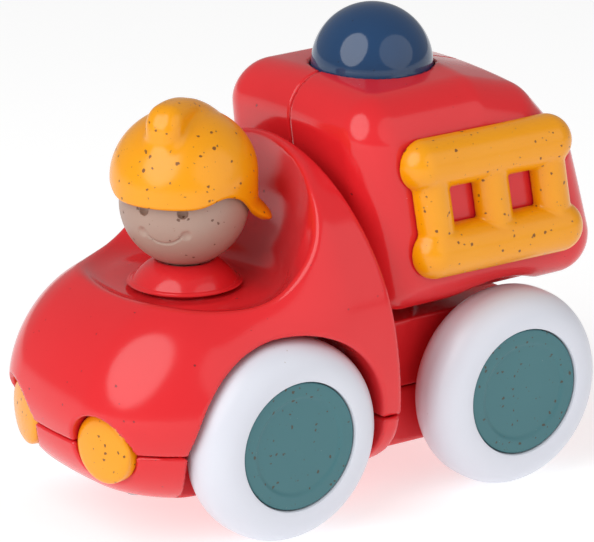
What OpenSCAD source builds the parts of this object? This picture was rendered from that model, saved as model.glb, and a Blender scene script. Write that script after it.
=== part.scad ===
// Push-along fire engine for a toddler, with a turning driver and a press-down beacon.
// The vehicle faces -Y, its left side is +X, and it stands on z = 0.

/* [Wheels] */
// Distance between the two axles
wheelbase = 72.8; // [66:0.2:84]
// Outer radius of a tyre
tyre_r = 27; // [24:0.5:29]
// Radius of the rounded section of a tyre
tread_r = 8; // [7:0.5:9.5]
// Straight width between the two roundings of a tyre
tread_flat = 2; // [0:0.2:4]
// Radius of a hub cap's face
hub_r = 17.1; // [12:0.1:18]
// Radius of a steel axle
axle_r = 2; // [1.5:0.1:2.6]
// Half width over the two hub caps
half_w = 44.5; // [42:0.5:54]

/* [Cab] */
// Nose ahead of the front axle
nose_overhang = 48.6; // [45:0.2:60]
// Height of the joint line between cab and chassis
seam_z = 27.7; // [25:0.1:29]
// Height that the bonnet's crown would have over the cockpit
hood_z = 67; // [63:0.5:70]
// Height of the horn-shaped seat back
horn_z = 96.5; // [88:0.5:100]
// Wall of the moulded shells
wall = 2.4; // [1.8:0.1:3]
// Floor of the cockpit
floor_z = 61.2; // [58:0.2:63]

/* [Rear body] */
// Height of the roof
roof_z = 110.2; // [102:0.2:118]
// Half width of the rear body at its foot
rear_half_w = 36.6; // [33:0.2:38]
// Tail behind the rear axle
tail_overhang = 33.4; // [30:0.2:40]

/* [Driver] */
// Radius of the driver's head
head_r = 16.9; // [14:0.1:17.5]
// Turn of the head away from straight ahead
head_turn = 41; // [0:1:60]
// Radius of the neck pin
neck_r = 4; // [3:0.1:5]

/* [Beacon] */
// Radius of the beacon's dome
beacon_r = 16.2; // [13:0.1:17]
// Distance that the beacon presses down
press_travel = 4; // [2:0.5:5]

/* [Ladders] */
// Radius of a ladder's long bars
rail_r = 6.4; // [5:0.1:7]
// Radius of a ladder's rungs
rung_r = 5.4; // [4:0.1:6]

/* [Fits] */
// Radial clearance of a turning or sliding fit
running_gap = 0.05; // [0.02:0.01:0.1]
// Gap between two pieces of one moulding line
seam_gap = 0.3; // [0.2:0.05:0.5]
// Gap between a wheel and the body around it
wheel_gap = 2; // [1.5:0.1:3]

/* [Hidden] */

RED = [0.86, 0.15, 0.17];
YELLOW = [0.95, 0.64, 0.10];
TEAL = [0.30, 0.50, 0.52];
NAVY = [0.10, 0.24, 0.42];
WHITE = [0.92, 0.92, 0.93];
SKIN = [0.68, 0.60, 0.55];
STEEL = [0.72, 0.73, 0.75];
AMBER = [0.90, 0.80, 0.62];

eps = 0.01;
shell_fn = 32;
length = nose_overhang + wheelbase + tail_overhang;
nose_y = -length / 2;
front_y = nose_y + nose_overhang;
rear_y = front_y + wheelbase;
tail_y = rear_y + tail_overhang;
axle_z = tyre_r;
tyre_half = tread_r + tread_flat / 2;
wheel_x = half_w - tyre_half + 0.5;
arch_r = tyre_r + wheel_gap;
well_x = wheel_x - tyre_half - wheel_gap;
spine_x = well_x - seam_gap;

// Chassis and cab
chassis_z = 11.5;
bumper_rise = seam_z - chassis_z;
nose_len = 25;
hood_round = 26.5;
hood_mid_z = hood_z - hood_round;
bulge = 2;
seam_draw = 0.7;
horn_r = half_w;
horn_mid_z = horn_z - horn_r;
horn_foot_y = front_y + 35.2;
horn_lean = 9.8;
horn_wall = 3;
horn_depth = 17;
saddle_r = 26;
saddle_y = front_y - 7.5;
saddle_z = horn_mid_z + 39;
dish_r = head_r + 10.6;
deck_z = 46.5;
deck_end_y = rear_y + 14;

// Driver
driver_y = front_y - 5.2;
torso_h = 4.6;
head_z = floor_z + torso_h + head_r;
dish_z = head_z + 1.3;
pit_x_r = 32;
pit_y_r = 24;
torso_r = 15;
torso_dome_r = 25.2;
torso_dome_drop = 20;
torso_plug_r = torso_r - 3.3;
torso_top_z = floor_z + torso_h + 0.4;
clip_z = floor_z - 9;
pin_low_z = clip_z - 3;
eye_x = 4.2;
eye_r = 1.3;

// Helmet
helmet_r = head_r + 2.5;
helmet_top = helmet_r - 2;
helmet_lift = 7.1;
helmet_wall = 1.8;
crest_half_w = 5.6;
crest_len = 17;
crest_h = 3.8;
visor_z = 3.3;
guard_flare = 3.6;

// Rear body
body_front_y = front_y + 28;
body_lean = 0.12;
body_foot_z = deck_z + 4.5;
side_lean = 0.06;
body_r = 11;
crown = 1.5;
beacon_y = rear_y - 17.9;

// Beacon and squeaker
skirt_r = beacon_r + 0.8;
flange_r = skirt_r + 1.6;
flange_top_z = roof_z - 3;
flange_h = 5;
dome_z = roof_z + 0.3;
cup_wall = 2;
tray_t = 2.4;
bellows_h = 5.2 * press_travel;
tray_z = flange_top_z - flange_h + 1 - bellows_h - tray_t;
tray_ear_x = 27;
foot_x = 19;
foot_h = 9.5;
reed_r = 4;
bellows_r = 11;
bellows_folds = 4;

// Ladders
ladder_front_y = body_front_y + 15.2;
ladder_len = 43.5;
ladder_low_z = body_foot_z + 17.6;
ladder_high_z = roof_z - 16.8;
ladder_stand = 1.2;
ladder_shift = 3.4;

// Lamps
lamp_x = 18.5;
lamp_r = 9.2;
lamp_turn = 17;
lamp_y = nose_y + 5.4;
lamp_depth = 3.2;
lamp_dome_r = 29.5;
lamp_proud = 3.5;

// Hub caps and axle ends
hub_plate = 3;
hub_disc_r = 12.4;
axle_end = 5;

// Bearing bushes
bush_r = axle_r + 2;
bush_len = 9;
bush_out = wheel_gap - 0.5;

// Screws
screw_r = 1.4;
screw_head_r = 2.8;
boss_r = 4;
screw_sink = 2.4;
// Axis and upper end of each long screw from below: two hold the cab, two hold deck and rear body
posts = [for (x = [-14, 14]) each [[x, front_y - 30, seam_z + 12], [x, rear_y - 14, deck_z + 8]]];

// One closed skin made from several overlapping forms
module moulded() resize([0, 0, 0]) children();

module mirrored() {
    children();
    mirror([1, 0, 0]) children();
}

// Plan outline of the front of the vehicle, pulled in by an inset
function nose_plan(inset, end_y) = concat(
    [for (a = [-90 : 7.5 : 90])
        [(half_w - inset) * sign(sin(a)) * pow(abs(sin(a)), 2 / 3),
         nose_y + nose_len - (nose_len - inset) * cos(a)]],
    [[half_w - inset, end_y], [inset - half_w, end_y]]);

module plan_slab(z, inset, end_y)
    translate([0, 0, z]) linear_extrude(eps) polygon(nose_plan(inset, end_y));

// Bonnet form: plan outlines that draw in towards the top along a quarter ellipse
module hood_form(skin) {
    hull() {
        plan_slab(seam_z - 2 * wall, bulge + seam_draw + skin, horn_foot_y - skin);
        plan_slab(hood_mid_z, skin, horn_foot_y - skin);
        for (a = [15 : 15 : 90])
            plan_slab(hood_mid_z + (hood_z - hood_mid_z - skin) * sin(a),
                      skin + hood_round * (1 - cos(a)), horn_foot_y - skin);
    }
}

// Everything behind the leaning back plane of the cab
module lean_cut(shift)
    translate([-half_w, horn_foot_y + shift, seam_z]) rotate([horn_lean, 0, 0])
        translate([0, 0, -horn_z]) cube([2 * half_w, length, 2 * horn_z]);

// Cross section of the bonnet, from its widest level up to its crown
function hood_section(skin) =
    let (half = [for (a = [0 : 15 : 90]) [half_w - skin - hood_round * (1 - cos(a)),
                                          hood_mid_z + (hood_z - hood_mid_z - skin) * sin(a)]])
    concat(half, [for (i = [len(half) - 1 : -1 : 0]) [-half[i].x, half[i].y]]);

// Seat back form: a round arch that runs forward into the bonnet, cut by a leaning plane at its back
module horn_form(skin) {
    difference() {
        hull() {
            translate([0, horn_foot_y, horn_mid_z]) rotate([90, 0, 0])
                cylinder(r = horn_r - skin, h = horn_depth, $fn = 72);
            translate([0, saddle_y - 10, 0]) rotate([90, 0, 0]) linear_extrude(eps)
                polygon(hood_section(skin));
        }
        lean_cut(-skin);
        translate([-half_w, saddle_y - 20, 0]) cube([2 * half_w, 80, hood_mid_z]);
    }
}

// Space in front of the seat back: a round saddle cut right across, and a dish round the head
module scoop(skin) {
    difference() {
        union() {
            translate([0, saddle_y, saddle_z]) rotate([0, 90, 0])
                cylinder(r = saddle_r + skin, h = 3 * half_w, center = true, $fn = 72);
            translate([-half_w, saddle_y - 40, saddle_z]) rotate([-8, 0, 0])
                cube([2 * half_w, 40 + saddle_r + skin, half_w]);
            translate([-half_w, saddle_y - 60, saddle_z - saddle_r - skin])
                cube([2 * half_w, 60, half_w]);
            translate([0, driver_y, dish_z]) sphere(r = dish_r + skin, $fn = 56);
        }
        lean_cut(skin - horn_wall);
    }
}

module spine_block(low_z, high_z, skin)
    translate([-spine_x + skin, front_y + 20, low_z])
        cube([2 * (spine_x - skin), deck_end_y - skin - front_y - 20, high_z - low_z]);

module wheel_wells(y) {
    mirrored() translate([well_x, y, axle_z]) rotate([0, 90, 0])
        cylinder(r = arch_r, h = half_w, $fn = 72);
}

// Round seats of the bearing bushes, half in the chassis and half in the cab
module bearing_seats()
    for (y = [front_y, rear_y]) translate([-well_x - 1, y, axle_z]) rotate([0, 90, 0])
        cylinder(r = bush_r + 0.05, h = 2 * well_x + 2, $fn = 48);

module lamp_place(side)
    translate([side * lamp_x, lamp_y, seam_z]) rotate([0, 0, side * lamp_turn]) rotate([90, 0, 0])
        children();

module lamp_recess()
    for (side = [-1, 1]) lamp_place(side)
        translate([0, 0, -lamp_depth]) cylinder(r = lamp_r + seam_gap, h = 20, $fn = 48);

// Oval bowl of the cockpit
module cockpit(skin)
    translate([0, driver_y, floor_z - skin]) scale([(pit_x_r + skin) / (pit_y_r + skin), 1, 1])
        cylinder(r = pit_y_r + skin, h = hood_z, $fn = 64);

module cab_outer() {
    difference() {
        union() {
            difference() {
                hood_form(0);
                lean_cut(0);
            }
            difference() {
                horn_form(0);
                scoop(0);
            }
            spine_block(seam_z, deck_z, 0);
        }
        translate([-half_w, nose_y - 1, 0]) cube([2 * half_w, length + 2, seam_z + seam_gap / 2]);
        wheel_wells(front_y);
        wheel_wells(rear_y);
        lamp_recess();
        bearing_seats();
        cockpit(0);
    }
}

module cab_inner() {
    difference() {
        union() {
            difference() {
                hood_form(wall);
                lean_cut(-wall);
                mirrored() translate([well_x - wall, front_y, axle_z]) rotate([0, 90, 0])
                    cylinder(r = arch_r + wall, h = half_w, $fn = 72);
                cockpit(wall);
                for (side = [-1, 1]) lamp_place(side)
                    translate([0, 0, -lamp_depth - wall]) cylinder(r = lamp_r + wall, h = 20, $fn = 48);
            }
            spine_block(0, deck_z - wall, wall);
        }
        cab_posts();
    }
}

// Posts that take the long screws from below, each up to the ceiling over it
module cab_posts()
    for (p = posts) translate([p.x, p.y, seam_z])
        cylinder(r = boss_r, h = hood_z - seam_z, $fn = 32);

module cab_shell() color(RED) moulded() difference() {
    cab_outer();
    cab_inner();
    translate([0, driver_y, 0]) cylinder(r = torso_plug_r + seam_gap, h = hood_z, $fn = 48);
    screw_shafts();
}

module screw_shafts()
    for (p = posts) translate([p.x, p.y, 0]) cylinder(r = screw_r + 0.1, h = p.z + 1, $fn = 24);

// Chassis form: plan outlines that draw in towards the underside
module chassis_form(skin) {
    hull() {
        for (a = [0 : 18 : 90])
            plan_slab(seam_z - (bumper_rise - skin) * sin(a),
                      bulge + seam_draw + skin + 12 * (1 - cos(a)), horn_foot_y - skin - 11 * (1 - cos(a)));
    }
}

module chassis() color(RED) moulded() difference() {
    union() {
        difference() {
            union() {
                chassis_form(0);
                spine_block(chassis_z, seam_z, 0);
            }
            difference() {
                union() {
                    chassis_form(wall);
                    spine_block(chassis_z + wall, seam_z + 1, wall);
                }
                mirrored() translate([well_x - wall, front_y, axle_z]) rotate([0, 90, 0])
                    cylinder(r = arch_r + wall, h = half_w, $fn = 72);
                for (side = [-1, 1]) lamp_place(side)
                    translate([0, 0, -lamp_depth - wall]) cylinder(r = lamp_r + wall, h = 20, $fn = 48);
            }
        }
        for (p = posts) translate([p.x, p.y, chassis_z])
            cylinder(r = boss_r, h = seam_z - chassis_z - seam_gap, $fn = 32);
        for (x = [-1, 1], y = [front_y, rear_y])
            translate([x * (well_x - 5) - 5, y - 7, chassis_z]) cube([10, 14, seam_z - chassis_z]);
    }
    translate([-half_w, nose_y - 1, seam_z - seam_gap / 2]) cube([2 * half_w, length + 2, seam_z]);
    wheel_wells(front_y);
    wheel_wells(rear_y);
    lamp_recess();
    bearing_seats();
    screw_shafts();
    for (p = posts) translate([p.x, p.y, 0])
        cylinder(r = screw_head_r + 0.2, h = chassis_z + screw_sink, $fn = 32);
}

// Side outline of the rear body: corner points in y and z, each rounded by body_r
function body_corners() = [
    [body_front_y + body_r + body_lean * (roof_z - body_foot_z), body_foot_z + body_r],
    [body_front_y + body_r, roof_z - body_r - 1.2],
    [tail_y - 40, roof_z - body_r + 0.5],
    [tail_y - 27, roof_z - body_r - 4],
    [tail_y - 16, roof_z - body_r - 17],
    [tail_y - body_r, body_foot_z + 5 + body_r],
];

module rear_form(skin)
    hull()
        for (p = body_corners(), side = [-1, 0, 1])
            translate([side * (rear_half_w - body_r - side_lean * (p.y - body_foot_z - body_r)),
                       p.x, p.y - abs(side) * crown])
                sphere(r = body_r - skin, $fn = shell_fn);

module beacon_hole()
    translate([0, beacon_y, flange_top_z]) cylinder(r = skirt_r + 0.35, h = 20, $fn = 72);

module rear_half(side) {
    difference() {
        union() {
            difference() {
                rear_form(0);
                rear_form(wall);
            }
            translate([-foot_x, rear_y - 22, deck_z + seam_gap]) cube([2 * foot_x, 16, foot_h]);
            intersection() {
                rear_form(0.5);
                union() {
                    for (p = screw_points()) translate([0, p.x, p.y]) rotate([0, 90, 0])
                        cylinder(r = boss_r, h = 2 * half_w, center = true, $fn = 32);
                    for (s = [-1, 1]) translate([s * (tray_ear_x + 8) - 12, beacon_y - 6, tray_z - 3 - tray_t])
                        cube([24, 12, 3 + tray_t - 0.02]);
                    translate([0, beacon_y, flange_top_z + seam_gap])
                        cylinder(r = flange_r + 3, h = 12, $fn = 72);
                }
            }
        }
        translate([side > 0 ? -2 * half_w : -seam_gap / 2, -length, 0])
            cube([2 * half_w + (side > 0 ? seam_gap / 2 : 0), 2 * length, 2 * roof_z]);
        wheel_wells(rear_y);
        screw_shafts();
        mirrored() translate([spine_x + 1, rear_y, axle_z]) rotate([0, 90, 0])
            cylinder(r = arch_r, h = half_w, $fn = 72);
        beacon_hole();
        translate([0, beacon_y, tray_z]) cylinder(r = flange_r + cup_wall + 0.4, h = flange_top_z - tray_z,
                                                  $fn = 72);
        for (p = screw_points()) translate([0, p.x, p.y]) rotate([0, 90, 0])
            cylinder(r = screw_r + 0.1, h = 2 * (side > 0 ? rear_half_w - 6 : half_w), center = true, $fn = 24);
        for (p = screw_points()) translate([3.5 - rear_half_w, p.x, p.y]) rotate([0, -90, 0])
            cylinder(r = screw_head_r + 0.2, h = 10, $fn = 32);
        ladder_sockets();
        for (x = [-tray_ear_x, tray_ear_x]) translate([x, beacon_y, tray_z - 12])
            cylinder(r = screw_r + 0.1, h = 20, $fn = 24);
    }
}

function screw_points() = [[body_front_y + 13, 66], [tail_y - 14, 66]];

module rear_body_left() color(RED) moulded() rear_half(1);
module rear_body_right() color(RED) moulded() rear_half(-1);

// A bar with round ends between two points
module bar(a, b, r)
    hull() {
        translate(a) sphere(r = r, $fn = 24);
        translate(b) sphere(r = r, $fn = 24);
    }

function ladder_x(z) = rear_half_w - side_lean * (z - body_foot_z) + ladder_stand;
function ladder_point(t, z, shift) = [ladder_x(z), ladder_front_y + shift + t * ladder_len, z];

module ladder() {
    bar(ladder_point(0, ladder_high_z, 0), ladder_point(1, ladder_high_z, 0), rail_r);
    bar(ladder_point(0, ladder_low_z, ladder_shift), ladder_point(1, ladder_low_z, ladder_shift), rail_r);
    for (t = [0.06, 0.5, 0.94])
        bar(ladder_point(t, ladder_high_z, 0), ladder_point(t, ladder_low_z, ladder_shift), rung_r);
}

// The ladder sits on the side wall, and two pegs go through it
module ladder_pegs(r, grow)
    for (z = [ladder_low_z, ladder_high_z])
        translate([rear_half_w - 9, ladder_front_y + ladder_len / 2, z]) rotate([0, 90, 0])
            cylinder(r = r, h = 9 + grow, $fn = 32);

module ladder_sockets()
    mirrored() ladder_pegs(2.7, 2);

module ladder_left() color(YELLOW) moulded() {
    difference() {
        ladder();
        rear_form(-seam_gap);
    }
    ladder_pegs(2.5, 0);
}

module ladder_right() mirror([1, 0, 0]) ladder_left();

module headlight(side)
    color(YELLOW) lamp_place(side) intersection() {
        translate([0, 0, 0.2 - lamp_depth]) cylinder(r = lamp_r, h = 8);
        translate([0, 0, lamp_proud - lamp_dome_r]) sphere(r = lamp_dome_r);
    }
module headlight_left() headlight(1);
module headlight_right() headlight(-1);

// Shoulders of the driver, with the bore that the neck pin turns in
module driver_torso() color(RED) translate([0, driver_y, 0]) difference() {
    union() {
        translate([0, 0, floor_z + 0.02]) intersection() {
            cylinder(r = torso_r, h = torso_top_z - floor_z);
            translate([0, 0, -torso_dome_drop]) sphere(r = torso_dome_r);
        }
        translate([0, 0, clip_z + 2]) cylinder(r = torso_plug_r, h = floor_z - clip_z);
    }
    translate([0, 0, clip_z]) cylinder(r = neck_r + running_gap, h = 40);
    translate([0, 0, head_z]) sphere(r = head_r + seam_gap);
}

module in_head_frame()
    translate([0, driver_y, head_z]) rotate([0, 0, head_turn]) children();

module driver_head() color(SKIN) difference() {
    in_head_frame() difference() {
        sphere(r = head_r);
        for (side = [-1, 1]) rotate([-5, 0, side * asin(eye_x / head_r)])
            translate([0, -head_r - 0.3, 0]) sphere(r = eye_r);
    }
    translate([0, driver_y, clip_z]) cylinder(r = neck_r, h = head_z - clip_z - 4);
}

// Fire helmet: a cap with a crest, a visor and a flared neck guard
module helmet_cap(skin)
    translate([0, 0, helmet_lift]) scale([1, 1, (helmet_top - skin) / (helmet_r - skin)])
        sphere(r = helmet_r - skin, $fn = 48);

// Flared collar round the back of the helmet
module neck_guard(skin)
    translate([0, 1, -5]) cylinder(r1 = helmet_r + guard_flare - skin, r2 = helmet_r - 1 - skin, h = 9, $fn = 48);

module helmet() color(YELLOW) moulded() in_head_frame() difference() {
    union() {
        difference() {
            union() {
                helmet_cap(0);
                neck_guard(0);
            }
            helmet_cap(helmet_wall);
            intersection() {
                neck_guard(helmet_wall);
                translate([0, 0, -10]) cylinder(r = 2 * helmet_r, h = 10 + visor_z, $fn = 32);
            }
            translate([0, 0, -13.7]) cylinder(r = 2 * helmet_r, h = 10, $fn = 32);
        }
        difference() {
            translate([0, 0, helmet_lift + helmet_top - 3.5]) scale([crest_half_w, crest_len, crest_h + 3.5])
                sphere(r = 1, $fn = 36);
            helmet_cap(helmet_wall / 2);
        }
    }
    sphere(r = head_r + 0.1, $fn = 40);
    translate([-2 * helmet_r, -2 * helmet_r + 2, -20]) cube([4 * helmet_r, 2 * helmet_r, 20 + visor_z]);
    translate([0, -6, visor_z - 5.3]) rotate([0, 90, 0])
        cylinder(r = 8, h = 4 * helmet_r, center = true, $fn = 48);
}

module neck_pin() color(SKIN) translate([0, driver_y, 0]) difference() {
    translate([0, 0, pin_low_z]) cylinder(r = neck_r, h = head_z - 4 - pin_low_z);
    translate([0, 0, clip_z]) rotate_extrude()
        translate([neck_r - 0.8, 0]) square([2, 1.2]);
}

module neck_clip() color(STEEL) translate([0, driver_y, clip_z + 0.05]) difference() {
    cylinder(r = neck_r + 3, h = 1.1);
    translate([0, 0, -1]) cylinder(r = neck_r - 0.75, h = 4);
}

module axle(y)
    color(STEEL) translate([-wheel_x - axle_end, y, axle_z]) rotate([0, 90, 0])
        cylinder(r = axle_r, h = 2 * (wheel_x + axle_end));
module axle_front() axle(front_y);
module axle_rear() axle(rear_y);

// Four bearing bushes, pressed into the chassis beside the wheel wells
module axle_bushes()
    color(AMBER) for (y = [front_y, rear_y], side = [-1, 1])
        translate([side * (well_x - bush_len / 2 + bush_out), y, axle_z]) rotate([0, 90, 0]) difference() {
            cylinder(r = bush_r, h = bush_len, center = true);
            cylinder(r = axle_r + running_gap, h = bush_len + 2, center = true);
        }

// Wheel ring with a rounded tread, a web and a recess for the hub cap
module tyre(y, side)
    color(WHITE) translate([side * wheel_x, y, axle_z]) rotate([0, side * 90, 0]) rotate_extrude()
        difference() {
            union() {
                for (z = [-tread_flat / 2, tread_flat / 2])
                    translate([tyre_r - tread_r, z]) circle(r = tread_r);
                translate([tyre_r - tread_r, -tread_flat / 2]) square([tread_r, tread_flat]);
                translate([axle_r + 2.1, 1 - tyre_half]) square([tyre_r - tread_r - axle_r - 2.1, 2 * tyre_half - 2]);
            }
            translate([0, tyre_half - 0.8 - hub_plate]) square([hub_r + 0.1, 10]);
            translate([axle_r + 4, -tyre_half - 1]) square([hub_r - axle_r - 6, 5]);
        }
module tyre_front_left() tyre(front_y, 1);
module tyre_front_right() tyre(front_y, -1);
module tyre_rear_left() tyre(rear_y, 1);
module tyre_rear_right() tyre(rear_y, -1);

// Hub cap: a flat ring, a shallow step to an inner disc, and a sleeve pressed on the axle
module hub(y, side)
    color(TEAL) translate([side * wheel_x, y, axle_z]) rotate([0, side * 90, 0]) difference() {
        translate([0, 0, tyre_half - 0.7 - hub_plate]) rotate_extrude()
            polygon([[0, 1.2 - 2 * tyre_half + hub_plate], [axle_r + 2, 1.2 - 2 * tyre_half + hub_plate],
                     [axle_r + 2, 0], [hub_r, 0], [hub_r, hub_plate - 0.5],
                     [hub_r - 0.5, hub_plate], [hub_disc_r + 1, hub_plate], [hub_disc_r, hub_plate - 0.6],
                     [0, hub_plate - 0.6]]);
        translate([0, 0, -2 * tyre_half]) cylinder(r = axle_r, h = 2 * tyre_half + axle_end);
    }
module hub_front_left() hub(front_y, 1);
module hub_front_right() hub(front_y, -1);
module hub_rear_left() hub(rear_y, 1);
module hub_rear_right() hub(rear_y, -1);

// Beacon: a hollow dome on a skirt, with a flange that slides in the tray's cup
module beacon_dome() color(NAVY) translate([0, beacon_y, 0]) difference() {
    union() {
        translate([0, 0, dome_z]) intersection() {
            sphere(r = beacon_r);
            cylinder(r = beacon_r + 1, h = beacon_r + 1);
        }
        translate([0, 0, flange_top_z - 1]) cylinder(r = skirt_r, h = dome_z - flange_top_z + 1);
        translate([0, 0, flange_top_z - flange_h]) cylinder(r = flange_r, h = flange_h);
    }
    translate([0, 0, dome_z]) sphere(r = beacon_r - wall);
    translate([0, 0, flange_top_z + 2]) cylinder(r = beacon_r - wall, h = dome_z - flange_top_z - 2);
    translate([0, 0, flange_top_z - flange_h - 1]) cylinder(r = bellows_r + 1, h = 2);
}

// Soft concertina that blows through the reed when the beacon is pressed
module squeaker_bellows() color(AMBER) translate([0, beacon_y, 0]) {
    low = tray_z + tray_t;
    step = bellows_h / bellows_folds;
    rotate_extrude() difference() {
        polygon(concat([[0, low], [bellows_r - 2, low]],
            [for (i = [0 : bellows_folds - 1]) each [[bellows_r, low + (i + 0.5) * step],
                                                    [bellows_r - 2, low + (i + 1) * step]]],
            [[0, low + bellows_h]]));
        polygon(concat([[reed_r, low - 1], [bellows_r - 3.2, low + 1]],
            [for (i = [0 : bellows_folds - 1]) each [[bellows_r - 1.2, low + (i + 0.5) * step],
                                                    [bellows_r - 3.2, low + (i + 1) * step - 1]]],
            [[0, low + bellows_h - 1], [0, low - 1]]));
    }
}

// Tray with the guide cup of the beacon, two ears and the hole of the reed
module squeaker_tray() color(WHITE) translate([0, beacon_y, tray_z]) difference() {
    union() {
        cylinder(r = flange_r + cup_wall, h = flange_top_z - tray_z - 1);
        translate([-tray_ear_x - 4, -4, 0]) cube([2 * tray_ear_x + 8, 8, tray_t]);
    }
    translate([0, 0, tray_t]) cylinder(r = flange_r + running_gap, h = roof_z);
    translate([0, 0, -1]) cylinder(r = reed_r - 0.5, h = tray_t + 2);
    for (x = [-tray_ear_x, tray_ear_x]) translate([x, 0, -1]) cylinder(r = screw_r + 0.2, h = 10);
}

module squeaker_reed() color(STEEL) translate([0, beacon_y, tray_z - 1]) difference() {
    cylinder(r = reed_r - 0.55, h = tray_t + 1);
    translate([0, 0, -1]) cylinder(r = 1.2, h = 10);
}

module screw(long)
    union() {
        translate([0, 0, -long]) cylinder(r = screw_r, h = long + 0.5);
        cylinder(r = screw_head_r, h = 1.8);
    }

module tray_screws()
    color(STEEL) for (x = [-tray_ear_x, tray_ear_x])
        translate([x, beacon_y, tray_z + tray_t]) screw(6);

// The body screws go in under the right ladder's side, across both halves
module body_screws()
    color(STEEL) for (p = screw_points())
        translate([-rear_half_w + 3.5, p.x, p.y]) rotate([0, -90, 0]) screw(rear_half_w + 12);

module chassis_screws()
    color(STEEL) for (p = posts) translate([p.x, p.y, chassis_z + screw_sink]) rotate([180, 0, 0])
        screw(p.z - chassis_z - screw_sink);

chassis();
cab_shell();
rear_body_left();
rear_body_right();
ladder_left();
ladder_right();
headlight_left();
headlight_right();
driver_torso();
driver_head();
helmet();
neck_pin();
neck_clip();
axle_front();
axle_rear();
axle_bushes();
tyre_front_left();
tyre_front_right();
tyre_rear_left();
tyre_rear_right();
hub_front_left();
hub_front_right();
hub_rear_left();
hub_rear_right();
beacon_dome();
squeaker_bellows();
squeaker_tray();
squeaker_reed();
tray_screws();
body_screws();
chassis_screws();
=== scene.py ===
import math

import bpy
import numpy as np
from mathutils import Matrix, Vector


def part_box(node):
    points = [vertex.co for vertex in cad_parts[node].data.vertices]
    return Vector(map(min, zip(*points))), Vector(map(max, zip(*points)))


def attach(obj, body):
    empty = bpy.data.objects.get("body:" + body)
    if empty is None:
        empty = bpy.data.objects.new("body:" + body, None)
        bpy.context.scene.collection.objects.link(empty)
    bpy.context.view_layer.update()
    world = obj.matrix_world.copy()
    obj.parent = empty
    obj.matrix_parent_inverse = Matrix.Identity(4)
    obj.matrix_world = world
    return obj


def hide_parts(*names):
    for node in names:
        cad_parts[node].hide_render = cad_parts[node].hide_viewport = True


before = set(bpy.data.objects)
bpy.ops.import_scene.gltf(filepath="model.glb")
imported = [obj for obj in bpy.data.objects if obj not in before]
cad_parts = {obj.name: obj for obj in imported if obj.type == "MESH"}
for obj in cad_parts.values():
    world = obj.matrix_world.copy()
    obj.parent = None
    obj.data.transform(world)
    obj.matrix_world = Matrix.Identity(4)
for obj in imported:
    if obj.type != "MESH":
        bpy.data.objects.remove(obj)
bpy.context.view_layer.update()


# ---------------------------------------------------------------------------
# Cab shell
# The upper moulding: bonnet, cockpit bowl and the horn-shaped seat back, with a deck
# that runs back between the wheels. One glossy red bioplastic moulding of even wall
# thickness, with flecks of husk in it, screwed to the chassis from below.

MM = 0.001


def box_mm(node):
    """Lowest and highest corner of a CAD node, in millimetres."""
    low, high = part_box(node)
    return np.array(low) / MM, np.array(high) / MM


def centre_mm(node):
    low, high = box_mm(node)
    return (low + high) / 2


def step(t, start, end):
    """Smooth rise from 0 at start to 1 at end."""
    t = np.clip((t - start) / (end - start), 0, 1)
    return t * t * (3 - 2 * t)


def meet(a, b, r):
    """The space inside both a and b, its edge rounded to radius r."""
    return np.minimum(-r, np.maximum(a, b)) + np.hypot(np.maximum(r + a, 0), np.maximum(r + b, 0))


def join(a, b, r):
    """The space inside a or b, with a fillet of radius r between them."""
    return -meet(-a, -b, r)


def cut(a, b, r):
    """a with b taken out of it, its new edge rounded to radius r."""
    return meet(a, -b, r)


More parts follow.
